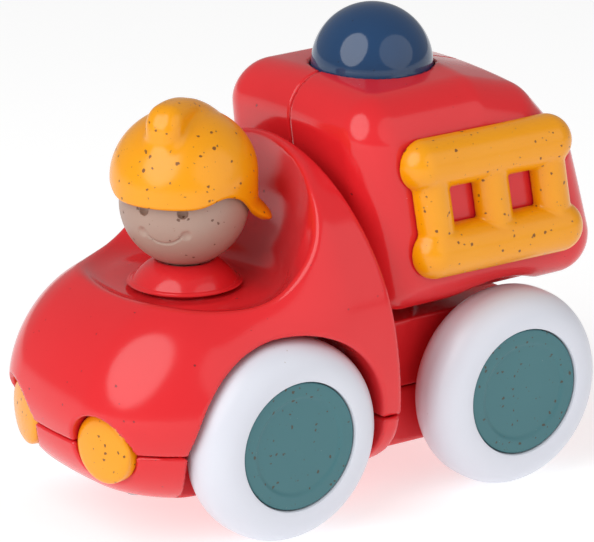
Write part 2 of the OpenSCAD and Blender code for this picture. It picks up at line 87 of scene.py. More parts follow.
def skin_of(field, low, high, cell, rounds=3):
    """Closed mesh of the surface where field is zero: one point in each grid cell that the surface
    crosses, evened out and then moved onto the surface along the field's slope."""
    axes = [np.arange(a - 2 * cell, b + 2.5 * cell, cell) for a, b in zip(low, high)]
    values = field(*np.meshgrid(*axes, indexing="ij"))
    solid = values < 0
    count = [n - 1 for n in solid.shape]

    def corner(array, offset):
        return array[tuple(slice(o, o + n) for o, n in zip(offset, count))]

    corners = [(i, j, k) for i in (0, 1) for j in (0, 1) for k in (0, 1)]
    filled = sum(corner(solid, c).astype(np.int8) for c in corners)
    active = (filled > 0) & (filled < 8)
    places = np.argwhere(active)
    number = np.full(active.shape, -1)
    number[active] = np.arange(len(places))
    total = np.zeros((len(places), 3))
    hits = np.zeros(len(places))
    for a in corners:
        for axis in range(3):
            if a[axis]:
                continue
            b = tuple(1 if i == axis else a[i] for i in range(3))
            fa = corner(values, a)[active]
            fb = corner(values, b)[active]
            crossed = (fa < 0) != (fb < 0)
            share = np.where(crossed, fa / np.where(crossed, fa - fb, 1), 0)
            point = np.array(a, float) + share[:, None] * (np.array(b) - np.array(a))
            total += point * crossed[:, None]
            hits += crossed
    points = (places + total / hits[:, None]) * cell + np.array([x[0] for x in axes])
    quads = []
    for axis in range(3):
        u, v = [i for i in range(3) if i != axis]
        first = [slice(1, -1)] * 3
        second = [slice(1, -1)] * 3
        first[axis], second[axis] = slice(0, -1), slice(1, None)
        a, b = solid[tuple(first)], solid[tuple(second)]
        for outward, changed in ((True, a & ~b), (False, ~a & b)):
            at = np.argwhere(changed)
            at[:, [u, v]] += 1
            ring = []
            for du, dv in ((-1, -1), (0, -1), (0, 0), (-1, 0)):
                near = at.copy()
                near[:, u] += du
                near[:, v] += dv
                ring.append(number[tuple(near.T)])
            quad = np.stack(ring, 1)
            quads.append(quad if outward == (axis != 1) else quad[:, ::-1])
    quads = np.concatenate(quads)
    sides = np.concatenate([quads[:, [i, (i + 1) % 4]] for i in range(4)])
    for _ in range(rounds):
        pull = np.zeros_like(points)
        weight = np.zeros(len(points))
        np.add.at(pull, sides[:, 0], points[sides[:, 1]])
        np.add.at(weight, sides[:, 0], 1)
        points = 0.5 * points + 0.5 * pull / weight[:, None]
        for _ in range(2):
            small = 0.02
            here = field(*points.T)
            slope = np.stack([(field(*(points + small * e).T) - here) / small for e in np.eye(3)], 1)
            length = np.maximum((slope**2).sum(1), 0.2)
            points = points - np.clip(here / length, -cell, cell)[:, None] * slope
    return points, quads


def mesh_piece(name, points, faces, material, smooth=True):
    """A new object from points in millimetres."""
    mesh = bpy.data.meshes.new(name)
    mesh.from_pydata((np.asarray(points) * MM).tolist(), [], np.asarray(faces).tolist())
    mesh.polygons.foreach_set("use_smooth", [smooth] * len(mesh.polygons))
    mesh.materials.append(material)
    mesh.update()
    piece = bpy.data.objects.new(name, mesh)
    bpy.context.scene.collection.objects.link(piece)
    return piece


def moulding(name, field, low, high, cell, material):
    points, quads = skin_of(field, low, high, cell)
    return mesh_piece(name, points, quads, material)


class Socket:
    """A shader value that can be used in sums; each operator adds a Math node."""

    def __init__(self, tree, link):
        self.tree = tree
        self.link = link

    def math(self, operation, *others, clamp=False):
        return self.tree.node("ShaderNodeMath", {"operation": operation, "use_clamp": clamp}, self, *others)

    def __add__(self, other):
        return self.math("ADD", other)

    def __sub__(self, other):
        return self.math("SUBTRACT", other)

    def __mul__(self, other):
        return self.math("MULTIPLY", other)

    def __gt__(self, other):
        return self.math("GREATER_THAN", other)

    def __rsub__(self, other):
        return self.tree.node("ShaderNodeMath", {"operation": "SUBTRACT"}, other, self)

    __radd__ = __add__
    __rmul__ = __mul__

    def limited(self):
        return self.math("ADD", 0.0, clamp=True)


class Finish:
    """One material's node tree."""

    def __init__(self, name):
        self.material = bpy.data.materials.new(name)
        self.material.use_nodes = True
        self.nodes = self.material.node_tree.nodes
        self.links = self.material.node_tree.links
        self.shader = self.nodes["Principled BSDF"]
        self.place = self.node("ShaderNodeTexCoord", {}, output="Object")

    def node(self, kind, settings, *values, output=0, **named):
        """A new node: its settings first, then its inputs, each a number, a colour or a Socket."""
        node = self.nodes.new(kind)
        for key, value in settings.items():
            setattr(node, key, value)
        for key, value in [*enumerate(values), *named.items()]:
            self.feed(node, key.replace("_", " ") if isinstance(key, str) else key, value)
        return Socket(self, node.outputs[output])

    def feed(self, node, key, value):
        if isinstance(value, Socket):
            self.links.new(value.link, node.inputs[key])
        else:
            node.inputs[key].default_value = value

    def set(self, **named):
        for key, value in named.items():
            self.feed(self.shader, key.replace("_", " "), value)

    def mix(self, share, first, second):
        """Colour that goes from first to second."""
        node = self.nodes.new("ShaderNodeMix")
        node.data_type = "RGBA"
        for key, value in ((0, share), (6, first), (7, second)):
            self.feed(node, key, value)
        return Socket(self, node.outputs[2])

    def noise(self, per_mm, detail=2.0, rough=0.5, output="Fac"):
        return self.node(
            "ShaderNodeTexNoise", {}, output=output,
            Vector=self.place, Scale=per_mm / MM, Detail=detail, Roughness=rough,
        )

    def flecks(self, spacing, chance, small, large, shift):
        """Mask of irregular flecks, at most one for each cell of the given spacing, in millimetres."""
        wobble = self.noise(0.9, 2.0, 0.6, output="Color")
        bent = self.node(
            "ShaderNodeVectorMath", {"operation": "MULTIPLY_ADD"}, wobble, (1.1 * MM,) * 3, self.place
        )
        moved = self.node("ShaderNodeVectorMath", {"operation": "ADD"}, bent, (shift * MM,) * 3)
        cell = {"Vector": moved, "Scale": 1 / (spacing * MM)}
        near = self.node("ShaderNodeTexVoronoi", {}, output="Distance", **cell) * spacing
        tint = self.node("ShaderNodeTexVoronoi", {}, output="Color", **cell)
        split = self.nodes.new("ShaderNodeSeparateColor")
        self.feed(split, 0, tint)
        lot, size = (Socket(self, split.outputs[i]) for i in (0, 1))
        reach = size * (large - small) + small
        return ((reach - near) * 9.0).limited() * (lot > 1 - chance)

    def bump(self, height, strength, distance):
        return self.node(
            "ShaderNodeBump", {}, output="Normal", Height=height, Strength=strength, Distance=distance
        )


def colour(text):
    """Linear colour from its web code."""
    parts = [int(text[i : i + 2], 16) / 255 for i in (1, 3, 5)]
    return tuple(c / 12.92 if c <= 0.04045 else ((c + 0.055) / 1.055) ** 2.4 for c in parts) + (1.0,)


def husk_plastic(name, base, shade, dark, mid, plenty, rough, coat, large=0.5):
    """Bioplastic with flecks: a base colour that clouds a little to its shade, and two sizes of fleck.
    plenty sets how many cells hold a fleck."""
    f = Finish(name)
    cloud = f.noise(0.06, 3.0)
    body = f.mix(cloud, colour(base), colour(shade))
    coarse = f.flecks(2.0, plenty, 0.1, large, 0.0)
    fine = f.flecks(1.2, 0.7 * plenty, 0.05, 0.45 * large, 7.3)
    pale = f.flecks(2.4, 0.3 * plenty, 0.05, 0.18, 3.1)
    body = f.mix(fine * 0.6, body, colour(mid))
    body = f.mix(coarse * 0.85, body, colour(dark))
    body = f.mix(pale * 0.35, body, colour("#F4E6DA"))
    grain = f.noise(0.8, 3.0)
    wear = f.noise(0.02, 4.0)
    f.set(
        Base_Color=body,
        Roughness=(wear * 0.06 + grain * 0.04 + (rough - 0.05) + coarse * 0.15).limited(),
        Coat_Weight=coat,
        Coat_Roughness=0.06,
        IOR=1.48,
        Normal=f.bump(f.noise(0.05, 2.0) * 0.5 + grain * 0.05 - coarse * 0.1, 0.12, 0.0004),
    )
    return f.material


red = husk_plastic("red_plastic", "#E0282E", "#DA242A", "#5A1216", "#8E1C20", 0.12, 0.15, 0.0, 0.42)
front_y = centre_mm("tyre_front_left")[1]
rear_y = centre_mm("tyre_rear_left")[1]
axle_z = centre_mm("tyre_front_left")[2]
nose_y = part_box("cab_shell")[0].y / MM
half_w = 44.5
seam_z = 27.7
seam_gap = 0.35
seam_edge_r = 0.4
wall = 2.4
bonnet_top = 66.0
bonnet_front_r = 33.4
bonnet_side_r = 30.5
bonnet_dip = 0.03
bonnet_dip_y = -45.0
bow_r = 141.0
tuck = 0.02
tuck_z = 38.0
arch_centre_z = 52.0
arch_tuck = 0.0056
arch_start_y = front_y - 20
arch_end_y = front_y + 17
well_x = 25.0
well_r = 28.6
well_edge_r = 1.0
spine_x = 24.7
spine_start_y = front_y + 20
spine_end_y = rear_y + 14
spine_edge_r = 0.8
deck_z = 46.5
foot_y = front_y + 35.2
foot_z = 28.0
lean = math.radians(9.8)
back_edge_r = 1.6
saddle_r = 26.0
saddle_y = front_y - 7.5
saddle_z = 91.0
saddle_lean = 0.14
saddle_bow = 0.0045
back_wall = 3.0
back_wall_edge_r = 4.0
driver_y = centre_mm("driver_head")[1]
floor_z = 61.2
dish_r = 27.5
dish_z = 84.0
dish_edge_r = 6.0
bowl_half_x = 32.0
bowl_half_y = 22.6
bowl_edge_r = 5.0
cockpit_fillet = 7.0
rim_r = 1.4
torso_hole_r = 12.2
torso_hole_depth = 8.0
lamp_x = 18.5
lamp_y = nose_y + 5.5
lamp_turn = math.radians(13)
lamp_r = 9.2
lamp_gap = 0.35
lamp_seat = 3.2
lamp_recess_edge_r = 0.6
far = 99.0


def seat_back_plane(y, z):
    """Distance behind the leaning plane at the back of the cab."""
    return (y - foot_y) * math.cos(lean) + (z - foot_z) * math.sin(lean)


def wheel_well(x, y, z, axle_y):
    return np.maximum(np.hypot(y - axle_y, z - axle_z) - well_r, well_x - np.abs(x))


def lamp_hole(x, y, z):
    """The two round recesses of the headlights."""
    gap = np.full(x.shape, far)
    for side in (-1, 1):
        out = np.array([side * math.sin(lamp_turn), -math.cos(lamp_turn)])
        ahead = (x - side * lamp_x) * out[0] + (y - lamp_y) * out[1]
        across = -(x - side * lamp_x) * out[1] + (y - lamp_y) * out[0]
        recess = np.maximum(np.hypot(across, z - seam_z) - lamp_r - lamp_gap, -lamp_seat - ahead)
        gap = np.minimum(gap, recess)
    return gap


def bonnet(x, y, z):
    """Bonnet: sides, a bowed front and a top, with large round edges."""
    draw = tuck * np.maximum(0, tuck_z - z) ** 2
    front = np.hypot(x, y - nose_y - bow_r) - bow_r + draw
    top = (z - bonnet_top) + bonnet_dip * np.maximum(0, bonnet_dip_y - y)
    return meet(np.abs(x) - half_w + draw, meet(front, top, bonnet_front_r), bonnet_side_r)


def cab_outside(x, y, z):
    """The bonnet blends into an arch, the cockpit is scooped out and the deck is added behind."""
    arch = np.where(z > arch_centre_z, np.hypot(x, z - arch_centre_z), np.abs(x)) - half_w
    arch = arch + arch_tuck * np.maximum(0, arch_centre_z - z) ** 2
    blend = step(y, arch_start_y, arch_end_y)
    body = bonnet(x, y, z) * (1 - blend) + arch * blend
    behind = seat_back_plane(y, z)
    body = meet(body, behind, back_edge_r)
    past_back = y + saddle_bow * x**2 - saddle_y - saddle_r
    back_limit = past_back * math.cos(saddle_lean) + (z - saddle_z) * math.sin(saddle_lean)
    niche = meet(saddle_z - saddle_r - z, back_limit, saddle_r)
    dish = np.sqrt(x**2 + (y - driver_y) ** 2 + (z - dish_z) ** 2) - dish_r
    niche = join(niche, meet(dish, floor_z - z, dish_edge_r), cockpit_fillet)
    bowl_rim = (np.hypot(x / bowl_half_x, (y - driver_y) / bowl_half_y) - 1) * bowl_half_y
    bowl = meet(bowl_rim, floor_z - z, bowl_edge_r)
    niche = join(niche, bowl, cockpit_fillet)
    niche = meet(niche, behind + back_wall, back_wall_edge_r)
    body = cut(body, niche, rim_r)
    spine = np.maximum(np.maximum(np.abs(x) - spine_x, z - deck_z), y - spine_end_y)
    spine = np.maximum(spine, spine_start_y - y)
    body = join(body, spine, spine_edge_r)
    for axle_y in (front_y, rear_y):
        body = cut(body, wheel_well(x, y, z, axle_y), well_edge_r)
    return cut(body, lamp_hole(x, y, z), lamp_recess_edge_r)


def cab_field(x, y, z):
    outside = cab_outside(x, y, z)
    shell = np.maximum(outside, -outside - wall)
    torso_hole = np.maximum(np.hypot(x, y - driver_y) - torso_hole_r, floor_z - torso_hole_depth - z)
    return meet(np.maximum(shell, -torso_hole), seam_z + seam_gap / 2 - z, seam_edge_r)


low, high = box_mm("cab_shell")
cab = moulding("cab", cab_field, low, high + [0, 0, 0.5], 0.8, red)
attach(cab, "body")
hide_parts("cab_shell")


# ---------------------------------------------------------------------------
# Chassis
# The lower tray with the front bumper, in the same red bioplastic. It closes the cab
# from below along one joint line and holds the axles in round half seats.

chassis_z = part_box("chassis")[0].z / MM
belly_r = 14.0
chassis_inset = 2.1
chassis_draw = 0.2
chassis_gap = 0.6
chassis_rear_r = 3.0
chassis_well_edge_r = 0.8
spine_foot_r = 2.0


def chassis_outside(x, y, z):
    draw = chassis_inset + chassis_draw * (seam_z - z)
    front = np.hypot(x, y - nose_y - bow_r) - bow_r + draw
    body = meet(np.abs(x) - half_w + draw, front, bonnet_side_r)
    body = meet(body, y - foot_y + chassis_gap, chassis_rear_r)
    body = meet(body, chassis_z - z, belly_r)
    spine = meet(np.abs(x) - spine_x, chassis_z - z, spine_foot_r)
    spine = np.maximum(np.maximum(spine, y - spine_end_y), spine_start_y - y)
    body = join(body, spine, spine_edge_r)
    for axle_y in (front_y, rear_y):
        body = cut(body, wheel_well(x, y, z, axle_y), chassis_well_edge_r)
    return cut(body, lamp_hole(x, y, z), lamp_recess_edge_r)


def chassis_field(x, y, z):
    outside = chassis_outside(x, y, z)
    shell = np.maximum(outside, -outside - wall)
    return meet(shell, z - seam_z + seam_gap / 2, seam_edge_r)


low, high = box_mm("chassis")
chassis = moulding("chassis_tray", chassis_field, low, high, 0.7, red)
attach(chassis, "body")
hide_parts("chassis")


# ---------------------------------------------------------------------------
# Rear body
# Two red half shells, left and right, that meet on a joint line down the middle of
# the roof and the front face. Long screws from the right side pull them together.

roof_z = 110.2
rear_half_w = 36.6
tail_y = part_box("rear_body_left")[1].y / MM
body_foot_z = 51.0
body_r = 11.0
side_lean = 0.06
front_lean = 0.08
crown = 1.5
crown_x = 26.0
beacon_hole_r = 16.6
beacon_hole_depth = 6.0
body_front_y = front_y + 28.0
side_profile = [
    (body_front_y + body_r + front_lean * (roof_z - body_foot_z), body_foot_z + body_r),
    (tail_y - body_r, body_foot_z + 0.6 + body_r),
    (tail_y - 16, roof_z - body_r - 15.6),
    (tail_y - 27, roof_z - body_r - 2.6),
    (tail_y - 40, roof_z - body_r + 0.8),
    (body_front_y + body_r, roof_z - body_r + 0.4),
]
beacon_y = centre_mm("beacon_dome")[1]


def rounded_polygon(y, z, corners, r):
    """Distance to a convex outline whose corners, given anticlockwise, are the centres of its rounding."""
    inside = np.full(y.shape, -1e9)
    edge = np.full(y.shape, 1e9)
    for (ay, az), (by, bz) in zip(corners, corners[1:] + corners[:1]):
        length = math.hypot(by - ay, bz - az)
        ty, tz = (by - ay) / length, (bz - az) / length
        along = np.clip((y - ay) * ty + (z - az) * tz, 0, length)
        edge = np.minimum(edge, np.hypot(y - ay - along * ty, z - az - along * tz))
        inside = np.maximum(inside, (y - ay) * tz - (z - az) * ty)
    return np.where(inside < 0, np.maximum(inside, -edge), edge) - r


def rear_outside(x, y, z):
    fall = crown * (x / crown_x) ** 2 * step(z, 75, 105)
    outline = rounded_polygon(y, z + fall, side_profile, body_r)
    side = np.abs(x) - rear_half_w + side_lean * (z - body_foot_z)
    body = meet(outline, side, body_r)
    well = np.maximum(np.hypot(y - rear_y, z - axle_z) - well_r, spine_x + 1 - np.abs(x))
    return cut(body, well, well_edge_r)


def rear_field(side):
    def field(x, y, z):
        outside = rear_outside(x, y, z)
        shell = np.maximum(outside, -outside - wall)
        shell = meet(shell, seam_gap / 2 - side * x, 0.35)
        hole = np.maximum(np.hypot(x, y - beacon_y) - beacon_hole_r, roof_z - beacon_hole_depth - z)
        return cut(shell, hole, 0.3)

    return field


for side, word in ((1, "left"), (-1, "right")):
    low, high = box_mm(f"rear_body_{word}")
    half = moulding(f"rear_shell_{word}", rear_field(side), low, high + [0, 0, 1], 0.65, red)
    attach(half, "body")
    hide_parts(f"rear_body_{word}")


# ---------------------------------------------------------------------------
# Ladders
# A toy ladder in satin yellow bioplastic on each side of the rear body: two fat rails
# with ball ends, and three thinner bars that run into them. Pegs hold it on.

yellow = husk_plastic("yellow_plastic", "#F2A006", "#EA9603", "#5A3010", "#8A4E14", 0.55, 0.24, 0.0, 0.55)
rail_r = 7.0
bar_r = 5.4
ladder_len = 40.8
ladder_front_y = body_front_y + 17.3
ladder_shift = 3.2
ladder_low_z = 68.1
ladder_high_z = 91.9
ladder_stand = 0.6
ladder_gap = 0.3
bar_fillet = 0.6
bar_places = (0.03, 0.5, 0.97)
peg_r = 2.5
peg_half = 5.0


def rod(x, y, z, a, b, r):
    """Round bar with ball ends from a to b."""
    a, b = np.array(a, float), np.array(b, float)
    d = b - a
    t = ((x - a[0]) * d[0] + (y - a[1]) * d[1] + (z - a[2]) * d[2]) / (d @ d)
    t = np.clip(t, 0, 1)
    return np.sqrt((x - a[0] - t * d[0]) ** 2 + (y - a[1] - t * d[1]) ** 2 + (z - a[2] - t * d[2]) ** 2) - r


def ladder_point(t, z, shift):
    return (
        rear_half_w - side_lean * (z - body_foot_z) + ladder_stand,
        ladder_front_y + shift + t * ladder_len,
        z,
    )


def ladder_field(x, y, z):
    ends = ((ladder_high_z, 0.0), (ladder_low_z, ladder_shift))
    rails = [rod(x, y, z, ladder_point(0, h, s), ladder_point(1, h, s), rail_r) for h, s in ends]
    ladder = np.minimum(*rails)
    bars = np.full(x.shape, far)
    for t in bar_places:
        high_end, low_end = (ladder_point(t, h, s) for h, s in ends)
        bars = np.minimum(bars, rod(x, y, z, high_end, low_end, bar_r))
    ladder = join(ladder, bars, bar_fillet)
    ladder = cut(ladder, rear_outside(x, y, z) - ladder_gap, 0.5)
    for h in (ladder_low_z, ladder_high_z):
        middle = ladder_front_y + ladder_len / 2
        peg = np.maximum(np.hypot(y - middle, z - h) - peg_r, np.abs(x - rear_half_w + 4) - peg_half)
        ladder = np.minimum(ladder, peg)
    return ladder


low, high = box_mm("ladder_left")
points, quads = skin_of(ladder_field, low, high, 0.5)
for side, word in ((1, "left"), (-1, "right")):
    faces = quads if side > 0 else quads[:, ::-1]
    ladder = mesh_piece(f"ladder_bars_{word}", points * [side, 1, 1], faces, yellow)
    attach(ladder, "body")
    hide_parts(f"ladder_{word}")


# ---------------------------------------------------------------------------
# Headlights
# Two slightly domed yellow discs, pressed into recesses that cross the joint line. They
# are turned from a half section, and so is every other round piece below.


def arc(centre_r, centre_h, r, start, end, steps):
    """Points of a half section along an arc; 0 degrees points outwards and 90 up."""
    angles = np.radians(np.linspace(start, end, steps + 1))
    return [(centre_r + r * math.cos(a), centre_h + r * math.sin(a)) for a in angles]


def lathe_tree():
    """Turns the object's own line of points round Z, and puts the result at one or two places."""
    tree = bpy.data.node_groups.new("lathe", "GeometryNodeTree")
    face = tree.interface
    face.new_socket("Section", in_out="INPUT", socket_type="NodeSocketGeometry")
    for name, kind in (
        ("Steps", "NodeSocketInt"),
        ("Places", "NodeSocketInt"),
        ("Place", "NodeSocketVector"),
        ("Tilt", "NodeSocketVector"),
        ("Material", "NodeSocketMaterial"),
    ):
        face.new_socket(name, in_out="INPUT", socket_type=kind)
    face.new_socket("Piece", in_out="OUTPUT", socket_type="NodeSocketGeometry")
    new, link = tree.nodes.new, tree.links.new
    start, end = new("NodeGroupInput"), new("NodeGroupOutput")

    def math_node(operation, *values):
        node = new("ShaderNodeMath")
        node.operation = operation
        for i, value in enumerate(values):
            if isinstance(value, (int, float)):
                node.inputs[i].default_value = value
            else:
                link(value, node.inputs[i])
        return node.outputs[0]

    size = new("GeometryNodeAttributeDomainSize")
    link(start.outputs["Section"], size.inputs[0])
    rows = size.outputs["Point Count"]
    grid = new("GeometryNodeMeshGrid")
    link(math_node("ADD", start.outputs["Steps"], 1.0), grid.inputs["Vertices X"])
    link(rows, grid.inputs["Vertices Y"])
    index = new("GeometryNodeInputIndex").outputs[0]
    row = math_node("MODULO", index, rows)
    column = math_node("FLOOR", math_node("DIVIDE", math_node("ADD", index, 0.5), rows))
    turn = math_node("MULTIPLY", math_node("DIVIDE", column, start.outputs["Steps"]), math.tau)
    sample = new("GeometryNodeSampleIndex")
    sample.data_type = "FLOAT_VECTOR"
    link(start.outputs["Section"], sample.inputs["Geometry"])
    link(new("GeometryNodeInputPosition").outputs[0], sample.inputs["Value"])
    link(row, sample.inputs["Index"])
    apart = new("ShaderNodeSeparateXYZ")
    link(sample.outputs[0], apart.inputs[0])
    together = new("ShaderNodeCombineXYZ")
    link(math_node("MULTIPLY", apart.outputs[0], math_node("COSINE", turn)), together.inputs[0])
    link(math_node("MULTIPLY", apart.outputs[0], math_node("SINE", turn)), together.inputs[1])
    link(apart.outputs[2], together.inputs[2])
    put = new("GeometryNodeSetPosition")
    link(grid.outputs["Mesh"], put.inputs["Geometry"])
    link(together.outputs[0], put.inputs["Position"])
    weld = new("GeometryNodeMergeByDistance")
    weld.inputs["Distance"].default_value = 1e-6
    link(put.outputs[0], weld.inputs["Geometry"])
    places = new("GeometryNodePoints")
    link(start.outputs["Places"], places.inputs["Count"])
    sign = math_node("SUBTRACT", 1.0, math_node("MULTIPLY", index, 2.0))
    flip = new("ShaderNodeCombineXYZ")
    link(sign, flip.inputs[0])
    flip.inputs[1].default_value = flip.inputs[2].default_value = 1.0
    spot = new("ShaderNodeVectorMath")
    spot.operation = "MULTIPLY"
    link(start.outputs["Place"], spot.inputs[0])
    link(flip.outputs[0], spot.inputs[1])
    link(spot.outputs[0], places.inputs["Position"])
    tilt = new("ShaderNodeVectorMath")
    tilt.operation = "SCALE"
    link(start.outputs["Tilt"], tilt.inputs[0])
    link(sign, tilt.inputs["Scale"])
    copies = new("GeometryNodeInstanceOnPoints")
    link(places.outputs[0], copies.inputs["Points"])
    link(weld.outputs[0], copies.inputs["Instance"])
    link(tilt.outputs[0], copies.inputs["Rotation"])
    real = new("GeometryNodeRealizeInstances")
    link(copies.outputs[0], real.inputs[0])
    smooth = new("GeometryNodeSetShadeSmooth")
    link(real.outputs[0], smooth.inputs[0])
    crease = new("GeometryNodeSetShadeSmooth")
    crease.domain = "EDGE"
    bend = new("GeometryNodeInputMeshEdgeAngle").outputs[0]
    link(math_node("GREATER_THAN", bend, math.radians(35)), crease.inputs["Selection"])
    crease.inputs["Shade Smooth"].default_value = False
    link(smooth.outputs[0], crease.inputs[0])
    paint = new("GeometryNodeSetMaterial")
    link(crease.outputs[0], paint.inputs["Geometry"])
    link(start.outputs["Material"], paint.inputs["Material"])
    link(paint.outputs[0], end.inputs[0])
    return tree


lathe = lathe_tree()
long_side = 1.2
end_gap = 0.12
lamp_dome_r = 38.0
lamp_dome_low = 36.6
lamp_dome_edge = 8.0
lamp_edge_r = 1.2
lamp_depth = 3


def plain_mesh(piece, name):
    """The piece with its modifiers worked out, as a new object with its normals outwards."""
    evaluated = piece.evaluated_get(bpy.context.evaluated_depsgraph_get())
    mesh = bpy.data.meshes.new_from_object(evaluated)
    bpy.data.objects.remove(piece)
    result = bpy.data.objects.new(name, mesh)
    bpy.context.scene.collection.objects.link(result)
    mesh.calc_loop_triangles()
    triangles = np.array([[mesh.vertices[v].co for v in t.vertices] for t in mesh.loop_triangles])
    volume = np.einsum("ij,ij->i", triangles[:, 0], np.cross(triangles[:, 1], triangles[:, 2])).sum()
    if volume < 0:
        mesh.flip_normals()
    return result


def turned(name, section, place, material, places=1, tilt=(0, 0, 0), steps=96):
    """A piece turned from a closed half section of (radius, height) points in millimetres. Each long
    side gets a point close to either end, so that flat faces are shaded flat."""
    closed = []
    for (ar, ah), (br, bh) in zip(section, section[1:] + section[:1]):
        closed.append((ar, ah))
        length = math.hypot(br - ar, bh - ah)
        if length > long_side:
            ends = (end_gap / length, 1 - end_gap / length)
            closed += [(ar + (br - ar) * t, ah + (bh - ah) * t) for t in ends]
    closed.append(section[0])
    mesh = bpy.data.meshes.new(name)
    mesh.from_pydata([(r * MM, 0, h * MM) for r, h in closed], [], [])
    piece = bpy.data.objects.new(name, mesh)
    bpy.context.scene.collection.objects.link(piece)
    modifier = piece.modifiers.new("lathe", "NODES")
    modifier.node_group = lathe
    inputs = {s.name: s.identifier for s in lathe.interface.items_tree if s.in_out == "INPUT"}
    for key, value in (
        ("Steps", steps),
        ("Places", places),
        ("Place", [c * MM for c in place]),
        ("Tilt", tilt),
        ("Material", material),
    ):
        modifier[inputs[key]] = value
    return plain_mesh(piece, name)


for side, word in ((1, "left"), (-1, "right")):
    rim = math.sqrt(lamp_dome_r**2 - lamp_r**2) - lamp_dome_low
    edge_angle = 90 - math.degrees(math.asin(lamp_dome_edge / lamp_dome_r))
    section = [(0, -lamp_depth), (lamp_r, -lamp_depth)]
    section += arc(lamp_r - lamp_edge_r, rim - 1.1, lamp_edge_r, 0, 72, 6)
    section += arc(0, -lamp_dome_low, lamp_dome_r, edge_angle, 90, 10)
    tilt = (math.radians(90), 0, side * lamp_turn)
    lamp = turned(f"lamp_{word}", section, (side * lamp_x, lamp_y, seam_z), yellow, tilt=tilt, steps=64)
    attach(lamp, "body")
    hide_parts(f"headlight_{word}")


# ---------------------------------------------------------------------------
# Wheels
# A thick white tyre ring with a round tread, and a teal hub cap that is pressed into
# its outer face and onto the axle.

white = husk_plastic("white_plastic", "#DADCE5", "#D5D7E1", "#A79C93", "#C0B8B0", 0.05, 0.32, 0.0, 0.25)
teal = husk_plastic("teal_plastic", "#41747A", "#3B6C73", "#4C3C2A", "#444C40", 0.85, 0.42, 0.0, 0.55)
tyre_low, tyre_high = box_mm("tyre_front_left")
tyre_half = (tyre_high[0] - tyre_low[0]) / 2
tyre_r = (tyre_high[2] - tyre_low[2]) / 2
wheel_x = (tyre_low[0] + tyre_high[0]) / 2
tread_r = 8.0
tread_flat = tyre_half * 2 - tread_r * 2
hub_r = 17.1
hub_top = tyre_half - 0.7
hub_plate = 3.0
hub_step = 0.543
hub_seat = tyre_half - 3.7
bore_r = 4.1
ring_r = 1.5
tyre_section = [(bore_r, 1 - tyre_half), (tyre_r - tread_r, -tyre_half)]
tyre_section += arc(tyre_r - tread_r, -tread_flat / 2, tread_r, -90, 0, 14)
tyre_section += arc(tyre_r - tread_r, tread_flat / 2, tread_r, 0, 90, 14)
tyre_section += [(hub_r + 0.8, tyre_half), (hub_r + 0.3, tyre_half - 0.2), (hub_r + 0.15, tyre_half - 0.7)]
tyre_section += [(hub_r + 0.15, hub_seat), (bore_r, hub_seat)]
hub_section = [(0, hub_top - 1.6), (2.1, hub_top - 1.6), (2.1, hub_top - hub_plate)]
hub_section += [(hub_r - 0.1, hub_top - hub_plate)]
hub_section += arc(hub_r - 0.5, hub_top - 0.4, 0.4, 0, 90, 4)
hub_section += arc(13.9, hub_top - ring_r, ring_r, 90, 125, 4)
hub_section += arc(12.18, hub_top - hub_step + ring_r, ring_r, 300, 270, 4)
hub_section += [(0, hub_top - hub_step)]
for axle_y, word in ((front_y, "front"), (rear_y, "rear")):
    place = (wheel_x, axle_y, axle_z)
    tilt = (0, math.radians(90), 0)
    tyres = turned(f"tyres_{word}", tyre_section, place, white, 2, tilt, 128)
    hubs = turned(f"hubs_{word}", hub_section, place, teal, 2, tilt, 96)
    for piece, kind, finish in ((tyres, "tyre", "white_wheel"), (hubs, "hub", "teal")):
        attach(piece, f"{word}_wheels")
        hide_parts(f"{kind}_{word}_left", f"{kind}_{word}_right")


# ---------------------------------------------------------------------------
# Beacon
# A glossy navy dome that stands in a close round hole in the roof, with a flange below
# that keeps it in. It slides down and squeaks.

navy = husk_plastic("navy_plastic", "#1B4068", "#183A60", "#0C1E36", "#3A5A7C", 0.12, 0.10, 0.2, 0.3)
beacon_r = 16.2
skirt_r = beacon_r + 0.15
flange_r = 18.6
flange_low = roof_z - 8
flange_high = roof_z - 5
dome_z = roof_z + 0.1
section = [(14, flange_low), (flange_r, flange_low), (flange_r, flange_high), (skirt_r, flange_high)]
section += [(skirt_r, dome_z - 0.4), (beacon_r + 0.08, dome_z)]
section += arc(0, dome_z, beacon_r, 2, 90, 36)
section += arc(0, dome_z, beacon_r - wall, 90, 0, 24)
beacon = turned("beacon", section, (0, beacon_y, 0), navy, steps=128)
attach(beacon, "beacon")
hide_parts("beacon_dome")


# ---------------------------------------------------------------------------
# Driver
# Red shoulders set in the cockpit floor, a stone-coloured ball head with a moulded
# smile, and a yellow fire helmet with a crest, a visor and a flared neck guard.

head_r = 16.9
head_z = 82.7
plug_r = 11.7
plug_low = floor_z - 9
shoulder_r = 15.2
shoulder_foot_r = 1.1
section = [(4.1, plug_low), (plug_r, plug_low), (plug_r, floor_z), (shoulder_r, floor_z + 0.02)]
section += arc(shoulder_r, floor_z + shoulder_foot_r, shoulder_foot_r, 265, 212, 6)
section += arc(0, floor_z - 8.5, 16.5, 34, 61, 24)
section += arc(0, head_z, head_r + 0.4, 296, 284, 10)
shoulders = turned("shoulders", section, (0, driver_y, 0), red, steps=96)
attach(shoulders, "body")
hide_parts("driver_torso")

stone = husk_plastic("stone_plastic", "#AD9385", "#A68A7C", "#5E3F30", "#8F5A44", 0.5, 0.44, 0.0, 0.45)
head_centre = centre_mm("driver_head")
head_centre[2] = head_z
head_turn = math.radians(36.5)
helmet_turn = math.radians(30.5)
smile_r = 6.2
smile_up = -1.0
smile_end = 4.7
smile_half = 0.28
smile_depth = 0.35
smile_edge_r = 0.12
